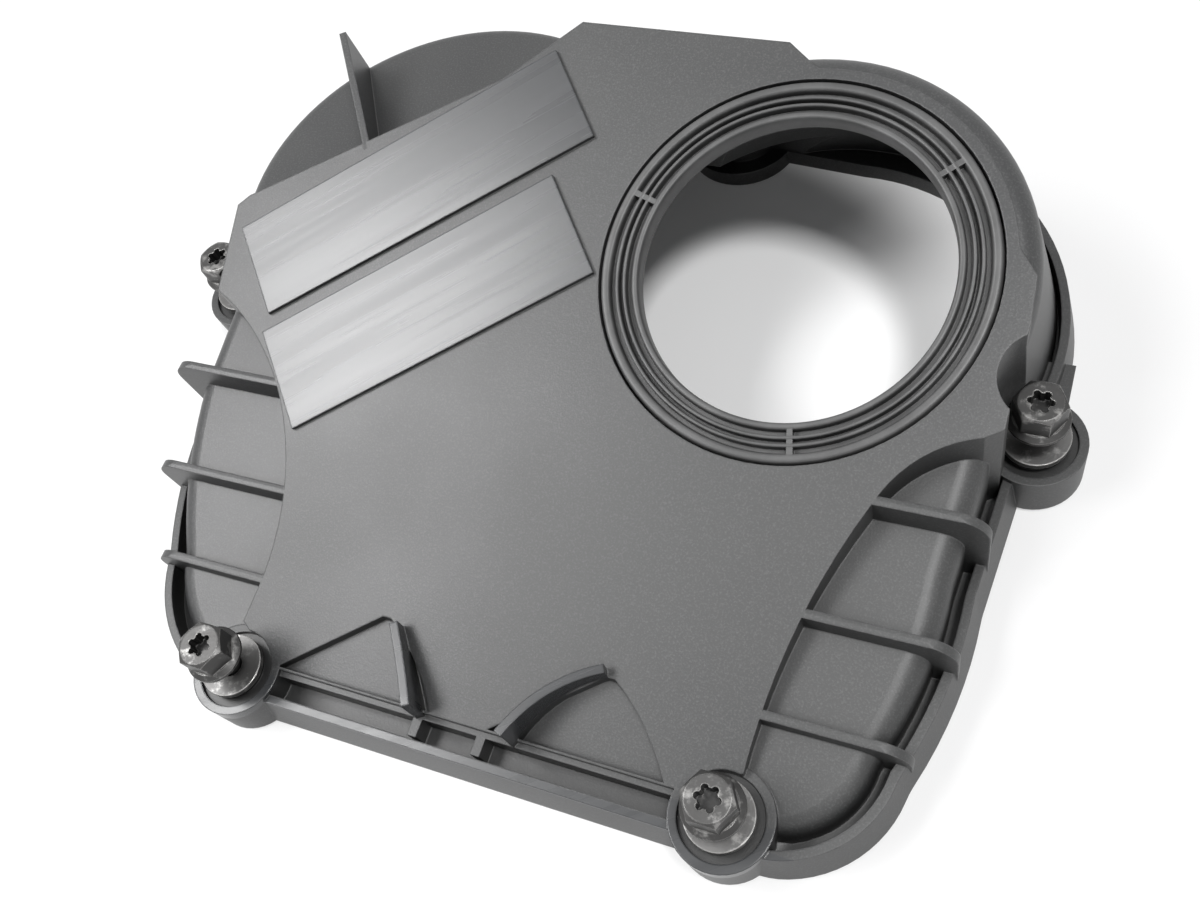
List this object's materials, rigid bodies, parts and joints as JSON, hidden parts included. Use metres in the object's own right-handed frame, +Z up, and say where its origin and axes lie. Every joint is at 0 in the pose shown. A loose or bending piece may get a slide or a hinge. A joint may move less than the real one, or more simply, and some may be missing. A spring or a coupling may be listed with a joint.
{
  "type": "timing chain cover",
  "caption": "Moulded upper timing chain cover with captive bolts in rubber bushes, a sealed round opening, side ribs and bare label pads.",
  "frame": {"origin": "bottom centre of the bounding box, on the plane of the gasket's lower edge", "axes": "+X along the front rail from the left front bolt to the right front bolt, +Y to the back, +Z up out of the sealing face, along the bolts"},
  "size_m": [0.2362, 0.2036, 0.0586],
  "materials": {
    "cover_plastic": "fine moulded grain",
    "gasket_rubber": "matt",
    "seal_rubber": "satin",
    "bush_rubber": "satin",
    "sleeve_steel": "worn",
    "bolt_steel": "worn"
  },
  "bodies": {
    "cover": {"cover_shell": "cover_plastic", "flange_gasket": "gasket_rubber", "aperture_seal": "seal_rubber", "bush_front_left": "bush_rubber", "sleeve_front_left": "sleeve_steel", "bush_front_right": "bush_rubber", "sleeve_front_right": "sleeve_steel", "bush_side_right": "bush_rubber", "sleeve_side_right": "sleeve_steel", "bush_side_left": "bush_rubber", "sleeve_side_left": "sleeve_steel", "bush_back": "bush_rubber", "sleeve_back": "sleeve_steel"},
    "bolt_front_left_body": {"bolt_front_left": "bolt_steel"},
    "bolt_front_right_body": {"bolt_front_right": "bolt_steel"},
    "bolt_side_right_body": {"bolt_side_right": "bolt_steel"},
    "bolt_side_left_body": {"bolt_side_left": "bolt_steel"},
    "bolt_back_body": {"bolt_back": "bolt_steel"}
  },
  "joints": [
    {"name": "bolt_front_left_slide", "type": "slide", "parent": "cover", "child": "bolt_front_left_body", "axis": [0, 0, 1], "range_m": [-0.007, 0.0038]},
    {"name": "bolt_front_right_slide", "type": "slide", "parent": "cover", "child": "bolt_front_right_body", "axis": [0, 0, 1], "range_m": [-0.007, 0.0038]},
    {"name": "bolt_side_right_slide", "type": "slide", "parent": "cover", "child": "bolt_side_right_body", "axis": [0, 0, 1], "range_m": [-0.007, 0.0038]},
    {"name": "bolt_side_left_slide", "type": "slide", "parent": "cover", "child": "bolt_side_left_body", "axis": [0, 0, 1], "range_m": [-0.007, 0.0038]},
    {"name": "bolt_back_slide", "type": "slide", "parent": "cover", "child": "bolt_back_body", "axis": [0, 0, 1], "range_m": [-0.007, 0.0038]}
  ]
}
